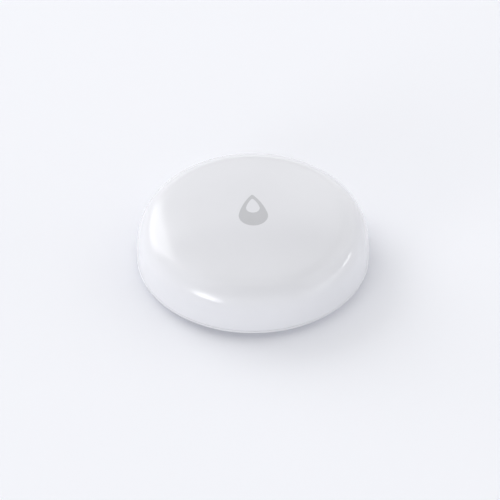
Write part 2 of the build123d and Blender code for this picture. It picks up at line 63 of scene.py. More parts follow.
def softbox(name, turn, height, width, length, brightness, fade=0.5, roll=0):
    """A soft lamp aimed at the sensor. Turn runs from the back to the right, height from the floor,
    both in degrees as width, length and roll are. Brightness is how bright its face is, and fade
    is the share of its face over which it dies away towards its edges."""
    wide = 2 * lamp_distance * sin(radians(width / 2))
    long = 2 * lamp_distance * sin(radians(length / 2))
    lamp_data = bpy.data.lights.new(name, "AREA")
    lamp_data.shape = "RECTANGLE"
    lamp_data.size = wide
    lamp_data.size_y = long
    lamp_data.energy = brightness * pi * wide * long
    lamp_data.use_nodes = True
    nodes, links = lamp_data.node_tree.nodes, lamp_data.node_tree.links
    face = nodes.new("ShaderNodeNewGeometry")
    across = nodes.new("ShaderNodeSeparateXYZ")
    both = nodes.new("ShaderNodeMath")
    both.operation = "MULTIPLY"
    links.new(face.outputs["Parametric"], across.inputs[0])
    # The place on the face runs from 0 to 1 along each side, and centred from -1 to 1.
    for index, axis in enumerate("XY"):
        centred = nodes.new("ShaderNodeMath")
        centred.operation = "MULTIPLY_ADD"
        centred.inputs[1].default_value = 2
        centred.inputs[2].default_value = -1
        outwards = nodes.new("ShaderNodeMath")
        outwards.operation = "ABSOLUTE"
        dying = nodes.new("ShaderNodeMapRange")
        dying.interpolation_type = "SMOOTHSTEP"
        dying.inputs["From Min"].default_value = 1 - fade
        dying.inputs["To Min"].default_value = 1
        dying.inputs["To Max"].default_value = 0
        links.new(across.outputs[axis], centred.inputs[0])
        links.new(centred.outputs[0], outwards.inputs[0])
        links.new(outwards.outputs[0], dying.inputs["Value"])
        links.new(dying.outputs["Result"], both.inputs[index])
    links.new(both.outputs[0], nodes["Emission"].inputs["Strength"])
    lamp = bpy.data.objects.new(name, lamp_data)
    bpy.context.collection.objects.link(lamp)
    away = Vector((
        sin(radians(turn)) * cos(radians(height)),
        cos(radians(turn)) * cos(radians(height)),
        sin(radians(height)),
    ))
    lamp.location = away * lamp_distance
    lamp.rotation_euler = away.to_track_quat("Z", "Y").to_euler()
    lamp.rotation_euler.rotate_axis("Z", radians(roll))
    lamp.visible_camera = False


softbox("key_softbox", turn=-46, height=29, width=58, length=54, brightness=2.95)
softbox("back_softbox", turn=-5, height=34, width=60, length=40, brightness=0.55)
softbox("back_low_strip", turn=0, height=4, width=130, length=9, brightness=0.6)
softbox("back_right_softbox", turn=40, height=28, width=80, length=46, brightness=0.63)
softbox("left_softbox", turn=-95, height=50, width=70, length=50, brightness=0.54)
softbox("right_softbox", turn=90, height=42, width=80, length=50, brightness=0.82)
softbox("left_strip", turn=-135, height=5, width=42, length=42, brightness=7.6, fade=0.9, roll=-18)
softbox("right_strip", turn=80, height=12, width=20, length=7, brightness=4.5, fade=0.4)
softbox("right_low_strip", turn=110, height=8, width=90, length=30, brightness=1.25, fade=0.8)
softbox("front_softbox", turn=180, height=18, width=90, length=36, brightness=0.52)
softbox("roof_softbox", turn=0, height=80, width=70, length=70, brightness=0.51)

# Room: a pale tent all round the sensor, which the gloss mirrors and which fills the shadows. It
# is brightest at the height of the floor and dimmer overhead.
tent_stops = ((0.0, 0.80), (0.498, 0.80), (0.5, 0.90), (0.75, 0.45), (1.0, 0.30))
room = bpy.data.worlds.new("room")
bpy.context.scene.world = room
room.use_nodes = True
room_nodes = room.node_tree.nodes
room_links = room.node_tree.links
room_nodes.clear()
direction = room_nodes.new("ShaderNodeTexCoord")
height_of = room_nodes.new("ShaderNodeSeparateXYZ")
share = room_nodes.new("ShaderNodeMapRange")
share.inputs["From Min"].default_value = -1
tent = room_nodes.new("ShaderNodeValToRGB")
for index, (position, brightness) in enumerate(tent_stops):
    if index < 2:
        stop = tent.color_ramp.elements[index]
        stop.position = position
    else:
        stop = tent.color_ramp.elements.new(position)
    stop.color = (brightness, brightness, brightness, 1)
tent_light = room_nodes.new("ShaderNodeBackground")
tent_out = room_nodes.new("ShaderNodeOutputWorld")
room_links.new(direction.outputs["Generated"], height_of.inputs[0])
room_links.new(height_of.outputs["Z"], share.inputs["Value"])
room_links.new(share.outputs["Result"], tent.inputs["Fac"])
room_links.new(tent.outputs["Color"], tent_light.inputs["Color"])
room_links.new(tent_light.outputs[0], tent_out.inputs["Surface"])

# Floor: one plain pale sheet, 4 m across, that keeps the soft shadow. Seen from below it is
# clear, and just under the sensor soft light comes up through it, so the underside is lit too.
floor_width = 4.0        # metres
floor_colour = (0.896, 0.905, 0.948, 1)
clear_radius = 22.0 * mm
bpy.ops.object.select_all(action="DESELECT")
bpy.ops.mesh.primitive_plane_add(size=floor_width)
floor = bpy.context.object
floor.name = floor.data.name = "floor"
floor_paint = bpy.data.materials.new("floor_paint")
floor_paint.use_nodes = True
floor_nodes = floor_paint.node_tree.nodes
floor_links = floor_paint.node_tree.links
floor_nodes.clear()
matt = floor_nodes.new("ShaderNodeBsdfDiffuse")
matt.inputs["Color"].default_value = floor_colour
clear = floor_nodes.new("ShaderNodeBsdfTransparent")
which_side = floor_nodes.new("ShaderNodeNewGeometry")
ray = floor_nodes.new("ShaderNodeLightPath")
spot = floor_nodes.new("ShaderNodeTexCoord")
from_middle = floor_nodes.new("ShaderNodeVectorMath")
from_middle.operation = "LENGTH"
under_sensor = floor_nodes.new("ShaderNodeMath")
under_sensor.operation = "LESS_THAN"
under_sensor.inputs[1].default_value = clear_radius
soft_ray = floor_nodes.new("ShaderNodeMath")
soft_ray.operation = "SUBTRACT"
soft_ray.inputs[0].default_value = 1
soft_under = floor_nodes.new("ShaderNodeMath")
soft_under.operation = "MULTIPLY"
see_through = floor_nodes.new("ShaderNodeMath")
see_through.operation = "MAXIMUM"
floor_mix = floor_nodes.new("ShaderNodeMixShader")
floor_out = floor_nodes.new("ShaderNodeOutputMaterial")
floor_links.new(spot.outputs["Object"], from_middle.inputs[0])
floor_links.new(from_middle.outputs["Value"], under_sensor.inputs[0])
floor_links.new(ray.outputs["Is Camera Ray"], soft_ray.inputs[1])
floor_links.new(under_sensor.outputs[0], soft_under.inputs[0])
floor_links.new(soft_ray.outputs[0], soft_under.inputs[1])
floor_links.new(soft_under.outputs[0], see_through.inputs[0])
floor_links.new(which_side.outputs["Backfacing"], see_through.inputs[1])
floor_links.new(see_through.outputs[0], floor_mix.inputs["Fac"])
floor_links.new(matt.outputs[0], floor_mix.inputs[1])
floor_links.new(clear.outputs[0], floor_mix.inputs[2])
floor_links.new(floor_mix.outputs[0], floor_out.inputs["Surface"])
floor.data.materials.append(floor_paint)

# Dome: one injection-moulded shell of glossy white plastic, 1.5 mm thick. A nearly flat crown,
# a tight shoulder and a steep side meet without a break, and the rim has a small round. Inside
# hang the collar that guides the light guide, and three bosses that the shell screws bite into.
body_height = 15.0
rim_height = 2.2
crown_radius = 100.0
crown_centre = (0.0, body_height - crown_radius)
shoulder_centre = (17.74, 6.2922)
side_radius = 28.0
side_centre = (-2.9962, 3.0)
bore_radius = 23.24
rim_round = 0.15
collar_radii = (4.6, 5.4)
collar_foot = 12.0
collar_head = 13.9
post_round = 0.2
screw_circle = 12.5
screw_angles = (90.0, 210.0, 330.0)
boss_foot = 7.6
boss_shoulder_foot = 9.0
boss_head = 13.35
boss_radii = (0.83, 2.03, 2.73)
boss_hole_top = 11.35
boss_tip_round = 0.15
turn_steps = 288
crown_steps = 60
shoulder_steps = 44
side_steps = 14
rim_steps = 5
inner_shoulder_steps = 24
inner_crown_steps = 20
easing_reach = (15.0, 21.5)
easing_passes = 30
weld_distance = 0.0005 * mm
crease = 30


def only(piece):
    """Selects one piece and nothing else, and makes it the one that is worked on."""
    bpy.ops.object.select_all(action="DESELECT")
    piece.select_set(True)
    bpy.context.view_layer.objects.active = piece
    return piece


def start_section(name, out, up):
    """A piece that is one lone point, the head of a half section. It is left in edit mode."""
    bpy.ops.object.select_all(action="DESELECT")
    bpy.ops.mesh.primitive_plane_add(size=mm, location=(out * mm, 0, up * mm))
    piece = bpy.context.object
    piece.name = piece.data.name = name
    bpy.ops.object.transform_apply(location=True, rotation=False, scale=False)
    bpy.ops.object.mode_set(mode="EDIT")
    bpy.ops.mesh.select_mode(type="VERT")
    bpy.ops.mesh.select_all(action="SELECT")
    bpy.ops.mesh.merge(type="CENTER")
    return piece


def run(out_by, up_by):
    """Carries the half section on in a straight line."""
    bpy.ops.mesh.extrude_region_move(TRANSFORM_OT_translate={"value": (out_by * mm, 0, up_by * mm)})


def bend(centre, turn, steps):
    """Carries the half section on along an arc. A plus turn goes over the top and outwards."""
    bpy.ops.mesh.spin(steps=steps, angle=-radians(turn), axis=(0, 1, 0),
                      center=(centre[0] * mm, 0, centre[1] * mm))


def close_turn(steps=turn_steps):
    """Turns the half section once round the upright middle line, and closes seam and poles."""
    bpy.ops.mesh.select_all(action="SELECT")
    bpy.ops.mesh.spin(steps=steps, angle=2 * pi, center=(0, 0, 0), axis=(0, 0, 1))
    bpy.ops.mesh.select_all(action="SELECT")
    bpy.ops.mesh.remove_doubles(threshold=weld_distance)
    bpy.ops.mesh.normals_make_consistent(inside=False)
    bpy.ops.object.mode_set(mode="OBJECT")
    bpy.ops.object.shade_smooth_by_angle(angle=radians(crease))


def turned(name, corners, steps=64, round_steps=4):
    """A turned piece from the corners of its half section, each (out, up) or (out, up, round)."""
    piece = start_section(name, corners[0][0], corners[0][1])
    here = Vector(corners[0][:2])
    for index in range(1, len(corners)):
        corner = Vector(corners[index][:2])
        if len(corners[index]) == 2:
            run(corner.x - here.x, corner.y - here.y)
            here = corner
            continue
        rounding = corners[index][2]
        way = (corner - here).normalized()
        onward = (Vector(corners[index + 1][:2]) - corner).normalized()
        turn = degrees(atan2(onward.cross(way), onward.dot(way)))
        setback = rounding * tan(radians(abs(turn) / 2))
        start = corner - setback * way
        run(start.x - here.x, start.y - here.y)
        inward = Vector((way.y, -way.x)) * (1 if turn > 0 else -1)
        bend(start + rounding * inward, turn, round_steps)
        here = corner + setback * onward
    close_turn(steps)
    return piece


def moved(piece, out, aside, angle=0, up=0):
    """The piece with its mesh shifted, then turned about the sensor's upright middle line."""
    only(piece)
    piece.location = (out * mm, aside * mm, up * mm)
    bpy.ops.object.transform_apply(location=True, rotation=False, scale=False)
    piece.rotation_euler = (0, 0, radians(angle))
    bpy.ops.object.transform_apply(location=False, rotation=True, scale=False)
    return piece


def copied(piece, out=0, aside=0, angle=0):
    """A copy with a mesh of its own, shifted and turned as moved does."""
    twin = piece.copy()
    twin.data = piece.data.copy()
    bpy.context.collection.objects.link(twin)
    return moved(twin, out, aside, angle)


def together(pieces):
    """Separate pieces made one object, by which they are added or cut away in one go."""
    only(pieces[0])
    for piece in pieces:
        piece.select_set(True)
    bpy.ops.object.join()
    return pieces[0]


def joined(piece, other, way):
    """The piece with another solid added to it, taken from it, or kept where both are."""
    only(piece)
    change = piece.modifiers.new(way.lower(), "BOOLEAN")
    change.operation = way
    change.solver = "EXACT"
    change.object = other
    bpy.ops.object.modifier_apply(modifier=change.name)
    bpy.data.objects.remove(other)
    return piece


def tilt_of(point, centre):
    """How far a point leans out from straight above a centre, in degrees."""
    return degrees(atan2(point[0] - centre[0], point[1] - centre[1]))


def pick(piece, wanted):
    """Selects the points of a piece that are wanted, and no others. It is left in edit mode."""
    bpy.ops.object.mode_set(mode="EDIT")
    bpy.ops.mesh.select_all(action="DESELECT")
    bpy.ops.object.mode_set(mode="OBJECT")
    for corner in piece.data.vertices:
        corner.select = wanted(corner)
    bpy.ops.object.mode_set(mode="EDIT")


crown_turn = tilt_of(shoulder_centre, crown_centre)
shoulder_end = tilt_of(shoulder_centre, side_centre)
rim_lean = degrees(acos((rim_height - side_centre[1]) / side_radius))
rim_radius = side_centre[0] + side_radius * sin(radians(rim_lean))
round_turn = degrees(rim_round / side_radius)
dome = start_section("dome", 0, body_height)
bend(crown_centre, crown_turn, crown_steps)
bend(shoulder_centre, shoulder_end - crown_turn, shoulder_steps)
# The change of curve from crown to shoulder is eased, then the section goes on from its last point.
pick(dome, lambda corner: easing_reach[0] * mm < corner.co.x < easing_reach[1] * mm)
bpy.ops.mesh.vertices_smooth(factor=0.5, repeat=easing_passes)
pick(dome, lambda corner: corner.index == len(dome.data.vertices) - 1)
bend(side_centre, rim_lean - round_turn - shoulder_end, side_steps)
bend((rim_radius - rim_round, rim_height + rim_round), 90, rim_steps)
run(bore_radius - rim_radius + rim_round, 0)
run(0, shoulder_centre[1] - rim_height)
bend(shoulder_centre, crown_turn - 90, inner_shoulder_steps)
bend(crown_centre, -crown_turn, inner_crown_steps)
close_turn()
collar = turned("collar", [
    (collar_radii[0], collar_foot), (collar_radii[1], collar_foot, post_round),
    (collar_radii[1], collar_head), (collar_radii[0], collar_head), (collar_radii[0], collar_foot),
])
boss_hole, boss_waist, boss_wide = boss_radii
boss = turned("boss", [
    (0, boss_hole_top), (boss_hole, boss_hole_top), (boss_hole, boss_foot),
    (boss_waist, boss_foot, boss_tip_round), (boss_waist, boss_shoulder_foot),
    (boss_wide, boss_shoulder_foot, post_round), (boss_wide, boss_head), (0, boss_head),
])
posts = [collar] + [copied(boss, screw_circle, angle=angle) for angle in screw_angles]
bpy.data.objects.remove(boss)
joined(dome, together(posts), "UNION")


def finish(name, colour, roughness, metal=0.0):
    """A material of one Principled shader, with its nodes, links, shader and place on the piece."""
    paint = bpy.data.materials.new(name)
    paint.use_nodes = True
    nodes = paint.node_tree.nodes
    shader = nodes["Principled BSDF"]
    shader.inputs["Base Color"].default_value = (*colour, 1)
    shader.inputs["Roughness"].default_value = roughness
    shader.inputs["Metallic"].default_value = metal
    place = nodes.new("ShaderNodeTexCoord").outputs["Object"]
    return paint, nodes, paint.node_tree.links, shader, place


def grain(nodes, links, place, size, detail=2.0, stretch=(1, 1, 1), middle=(0, 0, 0)):
    """Noise whose lumps are about one size across, in mm, or drawn out where stretch is small."""
    around = nodes.new("ShaderNodeMapping")
    around.inputs["Location"].default_value = [-m * mm * s for m, s in zip(middle, stretch)]
    around.inputs["Scale"].default_value = stretch
    noise = nodes.new("ShaderNodeTexNoise")
    noise.inputs["Scale"].default_value = 1 / (size * mm)
    noise.inputs["Detail"].default_value = detail
    links.new(place, around.inputs["Vector"])
    links.new(around.outputs["Vector"], noise.inputs["Vector"])
    return noise.outputs["Fac"]


def between(nodes, links, share, low, high, start=0.3, end=0.7):
    """A number that goes from low to high as a share goes from start to end."""
    mapped = nodes.new("ShaderNodeMapRange")
    mapped.inputs["From Min"].default_value = start
    mapped.inputs["From Max"].default_value = end
    mapped.inputs["To Min"].default_value = low
    mapped.inputs["To Max"].default_value = high
    links.new(share, mapped.inputs["Value"])
    return mapped.outputs["Result"]


def tones(nodes, links, share, dark, light, start=0.3, end=0.7):
    """A colour that goes from dark to light as a share goes from start to end."""
    ramp = nodes.new("ShaderNodeValToRGB")
    ramp.color_ramp.elements[0].position = start
    ramp.color_ramp.elements[0].color = (*dark, 1)
    ramp.color_ramp.elements[1].position = end
    ramp.color_ramp.elements[1].color = (*light, 1)
    links.new(share, ramp.inputs["Fac"])
    return ramp.outputs["Color"]


def relief(nodes, links, shader, height, depth):
    """Raises the surface by a height of 0 to 1, times a depth in mm."""
    bump = nodes.new("ShaderNodeBump")
    bump.inputs["Distance"].default_value = depth * mm
    links.new(height, bump.inputs["Height"])
    if shader.inputs["Normal"].is_linked:
        links.new(shader.inputs["Normal"].links[0].from_socket, bump.inputs["Normal"])
    links.new(bump.outputs["Normal"], shader.inputs["Normal"])


def moulded(name, colour, drift, shine, dull, grain_size, grain_depth, flow_size=9.0, waves=None):
    """Moulded plastic: a slow drift in its colour, uneven shine, and the fine grain of its mould.
    Waves are the size and the depth, in mm, of the broad waves that a polished face shows."""
    paint, nodes, links, shader, place = finish(name, colour, shine)
    flow = grain(nodes, links, place, flow_size, detail=3.0)
    dark = [channel * (1 - drift) for channel in colour]
    light = [channel * (1 + drift) for channel in colour]
    links.new(tones(nodes, links, flow, dark, light), shader.inputs["Base Color"])
    fine = grain(nodes, links, place, grain_size, detail=3.0)
    links.new(between(nodes, links, fine, shine, dull), shader.inputs["Roughness"])
    relief(nodes, links, shader, fine, grain_depth)
    if waves:
        swell = grain(nodes, links, place, size=waves[0], detail=1.0)
        relief(nodes, links, shader, swell, depth=waves[1])
    return paint


def coat(piece, paint):
    """Gives a piece one material in place of what it had."""
    piece.data.materials.clear()
    piece.data.materials.append(paint)


gloss_white = moulded("gloss_white", (0.73, 0.735, 0.77), drift=0.006, shine=0.10, dull=0.14,
                      grain_size=0.12, grain_depth=0.0006, waves=(2.6, 0.0015))

# Drop symbol: a grey plastic inlay, moulded flush into the crown round a small white drop of the
# dome itself. Its flanks are slightly bowed, and both tips point to the back.
drop_size = (6.28, 10.15, 16.0)
inner_drop_size = (2.94, 4.7, 7.0)
inner_drop_place = 1.325
tip_round = 0.25
drop_depth = 0.5
flank_steps = 20
tip_steps = 8
belly_steps = 48
cap_steps = 18
cap_depth = 2.0
overrun = 1.0        # how far a cutter goes past the face that it cuts


def sweep(centre, turn, steps):
    """Carries a flat outline on along an arc, anticlockwise seen from above."""
    bpy.ops.mesh.spin(steps=steps, angle=-radians(turn), axis=(0, 0, 1),
                      center=(centre[0] * mm, centre[1] * mm, 0))


def drop_bar(name, width, length, flank_radius, place, low, high):
    """An upright bar with the outline of a drop, its middle at a place along the depth."""
    belly_radius = width / 2
    belly = place + belly_radius - length / 2
    rise = length - belly_radius
    below = (2 * belly_radius * flank_radius - belly_radius ** 2 - rise ** 2) / (2 * rise)
    aside = sqrt((flank_radius - belly_radius) ** 2 - below ** 2)
    flank_up = belly - below
    tip_up = flank_up + sqrt((flank_radius - tip_round) ** 2 - aside ** 2)
    foot = degrees(atan2(below, aside))
    head = degrees(atan2(tip_up - flank_up, aside))
    piece = start_section(name, flank_radius * cos(radians(foot)) - aside, 0)
    start_up = flank_up + flank_radius * sin(radians(foot))
    bpy.ops.transform.translate(value=(0, start_up * mm, 0))
    sweep((-aside, flank_up), head - foot, flank_steps)
    sweep((0, tip_up), 180 - 2 * head, tip_steps)
    sweep((aside, flank_up), head - foot, flank_steps)
    sweep((0, belly), 180 + 2 * foot, belly_steps)
    bpy.ops.mesh.select_all(action="SELECT")
    bpy.ops.mesh.remove_doubles(threshold=weld_distance)
    bpy.ops.mesh.edge_face_add()
    bpy.ops.transform.translate(value=(0, 0, low * mm))
    bpy.ops.mesh.extrude_region_move(TRANSFORM_OT_translate={"value": (0, 0, (high - low) * mm)})
    bpy.ops.mesh.select_all(action="SELECT")
    bpy.ops.mesh.normals_make_consistent(inside=False)
    bpy.ops.object.mode_set(mode="OBJECT")
    return piece


def symbol_bar():
    """The drop with the small one taken out of it, as a bar that reaches up past the crown."""
    low = body_height - drop_depth
    high = body_height + overrun
    outer = drop_bar("symbol", *drop_size, 0, low, high)
    inner = drop_bar("inner", *inner_drop_size, inner_drop_place, low - overrun, high + overrun)
    return joined(outer, inner, "DIFFERENCE")


# The inlay is what the bar and a solid cap under the crown's own curve share, and the dome is
# cut by the same bar.
crown_cap = start_section("crown_cap", 0, body_height)
bend(crown_centre, crown_turn / 2, cap_steps)
run(0, -cap_depth)
close_turn()
bpy.ops.object.mode_set(mode="EDIT")
bpy.ops.mesh.select_all(action="DESELECT")
bpy.ops.mesh.select_non_manifold()
bpy.ops.mesh.edge_face_add()
bpy.ops.mesh.select_all(action="SELECT")
bpy.ops.mesh.normals_make_consistent(inside=False)
bpy.ops.object.mode_set(mode="OBJECT")
drop = joined(symbol_bar(), crown_cap, "INTERSECT")
drop.name = drop.data.name = "drop_inlay"
joined(dome, symbol_bar(), "DIFFERENCE")
for piece in (dome, drop):
    only(piece)
    bpy.ops.object.shade_smooth_by_angle(angle=radians(crease))
inlay_grey = moulded("inlay_grey", (0.52, 0.525, 0.55), drift=0.012, shine=0.22, dull=0.28,
                     grain_size=0.15, grain_depth=0.0008, flow_size=3.0)
coat(dome, gloss_white)
coat(drop, inlay_grey)
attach(dome, "housing")
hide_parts("top_shell")
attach(drop, "housing")
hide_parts("drop_window")

# Base: one moulded shell of satin white plastic that closes the dome from below. Its spigot plugs
# into the dome over the seal ring, its neck holds the coin cell, and its flange shows under the rim.
# Webs stiffen its trough, bosses carry the probes, and it stands on the probes and on two nubs.
foot_height = 0.6
foot_radius = 22.588
foot_round = 0.4
flange_bottom = 1.7
seat_height = 1.9
counterbore_radius = 15.75
bay_radius = 14.2
pocket_radii = (10.15, 11.0)
cell_bottom = 3.0
roof_heights = (6.4, 6.8, 7.6)
spigot_radii = (21.59, 23.09)
spigot_top = 5.4
groove_radius = 22.14
groove_heights = (3.15, 4.25)
floor_top = 2.0
floor_round = 0.3
shelf_radius = 16.75
shelf_top = 3.1
neck_radius = 15.3
neck_top = 8.0
rest_radius = 14.68
soft_round = 0.2
edge_round = 0.15
counterbore_round = 0.12
lip_round = 0.1
sharp_round = 0.05
web_size = (6.4, 1.0, 3.4)
web_foot = 0.8
web_angles = (50.0, 130.0, 230.0, 310.0)
probe_circle = 18.4
probe_angles = (0.0, 180.0)
probe_boss_radii = (1.05, 2.05, 2.95)
probe_boss_foot = 1.0
probe_boss_top = 5.0
probe_seat = 1.8
nub_radius = 1.5
nub_round = 0.25
nub_flare = 0.1
nub_top = 1.0
thread_angles = (30.0, 150.0, 270.0)
thread_lean = 3.996
thread_width = 7.0
thread_stock = 4.0
thread_round = 0.12
ledge_radii = (13.3, 14.35)
ledge_low = 3.605
ledge_height = 0.75
screw_hole_radius = 0.95
slot_width = 3.9
slot_gap = 0.7
slot_height = 3.0
minus_slot_place = -6.7
plus_slot_place = -10.1
plus_window_place = -10.45
plus_window_depth = 1.4
mark_circle = 17.25
mark_radii = (0.55, 0.8)
mark_depth = 0.15
mark_angle = -120.0
open_mark_angle = -60.0
broad_crease = 35


def block(name, middle, size, rounding=0.0, lean=0.0):
    """A block with its edges eased, leaning about the X axis through its own foot."""
    bpy.ops.object.select_all(action="DESELECT")
    bpy.ops.mesh.primitive_cube_add(size=mm, scale=size, location=(0, 0, size[2] / 2 * mm))
    piece = bpy.context.object
    piece.name = piece.data.name = name
    bpy.ops.object.transform_apply(location=True, rotation=False, scale=True)
    if rounding:
        easing = piece.modifiers.new("easing", "BEVEL")
        easing.width = rounding * mm
        easing.segments = 3
        bpy.ops.object.modifier_apply(modifier=easing.name)
    piece.rotation_euler = (radians(lean), 0, 0)
    piece.location = [place * mm for place in middle]
    bpy.ops.object.transform_apply(location=True, rotation=True, scale=False)
    return piece


def bar(name, radius, low, high, steps=48):
    """A plain upright round bar, to cut or to add with."""
    return turned(name, [(0, low), (radius, low), (radius, high), (0, high)], steps)


def tube(name, inner, outer, low, high, steps=turn_steps):
    """An upright round bar with a hole all through it."""
    return turned(name, [(inner, low), (outer, low), (outer, high), (inner, high), (inner, low)], steps)


def thread_piece(inner, outer, low, height):
    """One leaning piece of thread between two radii, rounded along its edges."""
    middle = (inner + outer) / 2
    size = (thread_stock, thread_width, height)
    leaning = block("thread", (middle, 0, low), size, thread_round, thread_lean)
    track = tube("track", inner, outer, low - 2 * overrun, low + 3 * overrun)
    return joined(leaning, track, "INTERSECT")


def evened(piece):
    """Smooth rounds beside truly flat faces: the broad faces rule the shading at their edges."""
    only(piece)
    bpy.ops.object.shade_smooth_by_angle(angle=radians(broad_crease))
    weighing = piece.modifiers.new("even", "WEIGHTED_NORMAL")
    weighing.keep_sharp = True
    bpy.ops.object.modifier_apply(modifier=weighing.name)


boss_hole, boss_bore, boss_wall = probe_boss_radii
bay_roof, bay_rim, cell_roof = roof_heights
pocket_inner, pocket_outer = pocket_radii
spigot_inner, spigot_outer = spigot_radii
groove_low, groove_high = groove_heights
base = turned("base", [
    (0, bay_roof), (pocket_inner, bay_roof), (pocket_inner, cell_bottom, edge_round),
    (pocket_outer, cell_bottom, edge_round), (pocket_outer, bay_rim), (bay_radius, bay_rim),
    (bay_radius, seat_height, edge_round), (counterbore_radius, seat_height),
    (counterbore_radius, foot_height, counterbore_round), (foot_radius, foot_height, foot_round),
    (rim_radius, flange_bottom, edge_round), (rim_radius, rim_height, sharp_round),
    (spigot_outer, rim_height), (spigot_outer, groove_low, sharp_round),
    (groove_radius, groove_low), (groove_radius, groove_high),
    (spigot_outer, groove_high, sharp_round), (spigot_outer, spigot_top, soft_round),
    (spigot_inner, spigot_top, soft_round), (spigot_inner, floor_top, floor_round),
    (shelf_radius, floor_top, soft_round), (shelf_radius, shelf_top, edge_round),
    (neck_radius, shelf_top, soft_round), (neck_radius, neck_top, lip_round),
    (rest_radius, neck_top, lip_round), (rest_radius, cell_roof), (0, cell_roof),
], turn_steps)

# What the mould adds to the base: webs, probe bosses, nubs and the ledges that the cover's
# lugs ride on, each made once and copied round
web = block("web", ((neck_radius + spigot_inner) / 2, 0, web_foot), web_size, edge_round)
probe_boss = turned("probe_boss", [
    (boss_hole, probe_boss_foot), (boss_wall, probe_boss_foot),
    (boss_wall, probe_boss_top, soft_round), (boss_hole, probe_boss_top),
    (boss_hole, probe_boss_foot),
])
nub = turned("nub", [
    (0, 0), (nub_radius, 0, nub_round), (nub_radius, foot_height - nub_flare),
    (nub_radius + nub_flare, foot_height), (nub_radius + nub_flare, nub_top), (0, nub_top),
])
ledge = thread_piece(*ledge_radii, ledge_low, ledge_height)
added = [copied(web, angle=angle) for angle in web_angles]
added += [copied(nub, probe_circle, angle=angle + 90) for angle in probe_angles]
added += [copied(ledge, angle=angle) for angle in thread_angles]
joined(base, together(added), "UNION")
for angle in probe_angles:
    braced = joined(copied(probe_boss, probe_circle, angle=angle), copied(web, angle=angle), "UNION")
    joined(base, braced, "UNION")

# What is cut out of the base: probe bores, screw holes, the slots of the two cell contacts, and
# the filled dot and ring that mark where the cover is shut and open
mouth_radius = boss_bore + edge_round
bore_top = probe_boss_top + overrun
probe_bore = turned("probe_bore", [
    (0, 0), (mouth_radius, 0), (mouth_radius, foot_height), (boss_bore, foot_height + edge_round),
    (boss_bore, probe_seat), (boss_hole, probe_seat), (boss_hole, bore_top), (0, bore_top),
])
screw_hole = bar("screw_hole", screw_hole_radius, bay_roof - overrun, neck_top + overrun)
slot_foot = bay_roof - overrun
minus_slot = block("minus_slot", (minus_slot_place, 0, slot_foot), (slot_gap, slot_width, slot_height))
window_size = (slot_width, plus_window_depth, bay_roof - floor_top)
plus_window = block("plus_window", (0, plus_window_place, floor_top), window_size)
plus_slot = block("plus_slot", (0, plus_slot_place, slot_foot), (slot_width, slot_gap, slot_height))
mark_top = foot_height + mark_depth
shut_mark = bar("shut_mark", mark_radii[1], 0, mark_top)
open_mark = tube("open_mark", *mark_radii, 0, mark_top, 48)
cuts = [copied(probe_bore, probe_circle, angle=angle) for angle in probe_angles]
cuts += [copied(screw_hole, screw_circle, angle=angle) for angle in screw_angles]
cuts += [minus_slot, joined(plus_window, plus_slot, "UNION")]
cuts += [moved(shut_mark, mark_circle, 0, mark_angle)]
cuts += [moved(open_mark, mark_circle, 0, open_mark_angle)]
joined(base, together(cuts), "DIFFERENCE")
for spare in (web, probe_boss, nub, ledge, probe_bore, screw_hole):
    bpy.data.objects.remove(spare)
evened(base)
satin_white = moulded("satin_white", (0.70, 0.705, 0.735), drift=0.01, shine=0.38, dull=0.5,
                      grain_size=0.22, grain_depth=0.004)
coat(base, satin_white)
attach(base, "housing")
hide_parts("base_shell")

# Battery cover: a screw-off disc of the same satin plastic with a slot for a coin. Its skirt
# carries three thread lugs and the flange that holds the seal ring, and four pads hold the cell up.
cover_radius = 15.6
cover_top = 1.8
skirt_radii = (11.6, 13.1)
skirt_top = 5.45
lug_radius = 13.95
lug_low = 4.455
lug_root = 0.15
seal_flange = (2.9, 3.2)
seal_flange_round = 0.08
coin_slot_reach = 7.0
coin_slot_radius = 1.0
coin_slot_top = 1.8
coin_slot_flare = 0.2
trough_radius = 2.0
trough_top = 2.8
long_slot_steps = 62        # not in fours, so that no point lies where the halves part
disc_middle = 1.5        # the height in the disc at which what stands on it begins
pad_radius = 1.0
pad_circle = 7.0
pad_top = 2.85
pad_angles = (45.0, 135.0, 225.0, 315.0)
arrow_circle = 14.1
arrow_radius = 0.8


def stretched(piece, reach):
    """Pulls the two halves of a round piece apart along X, so that it becomes a long round slot."""
    only(piece)
    for side in (-1, 1):
        pick(piece, lambda corner: corner.co.x * side > 0.01 * mm)
        bpy.ops.transform.translate(value=(side * reach * mm, 0, 0))
    bpy.ops.mesh.select_all(action="SELECT")
    bpy.ops.mesh.normals_make_consistent(inside=False)
    bpy.ops.object.mode_set(mode="OBJECT")
    return piece


skirt_inner, skirt_outer = skirt_radii
flange_low, flange_high = seal_flange
cover = turned("cover", [
    (0, foot_height), (cover_radius, foot_height, soft_round), (cover_radius, cover_top, lip_round),
    (skirt_outer, cover_top), (skirt_outer, flange_low), (lug_radius, flange_low, seal_flange_round),
    (lug_radius, flange_high, seal_flange_round), (skirt_outer, flange_high),
    (skirt_outer, skirt_top, edge_round), (skirt_inner, skirt_top, edge_round),
    (skirt_inner, cover_top, floor_round), (0, cover_top),
], turn_steps)
lug = thread_piece(skirt_outer - lug_root, lug_radius, lug_low, ledge_height)
pad = turned("pad", [
    (0, disc_middle), (pad_radius, disc_middle), (pad_radius, pad_top, soft_round), (0, pad_top),
])
trough = stretched(turned("trough", [
    (0, disc_middle), (trough_radius, disc_middle), (trough_radius, trough_top, soft_round),
    (0, trough_top),
], long_slot_steps), coin_slot_reach)
slot_mouth = coin_slot_radius + coin_slot_flare
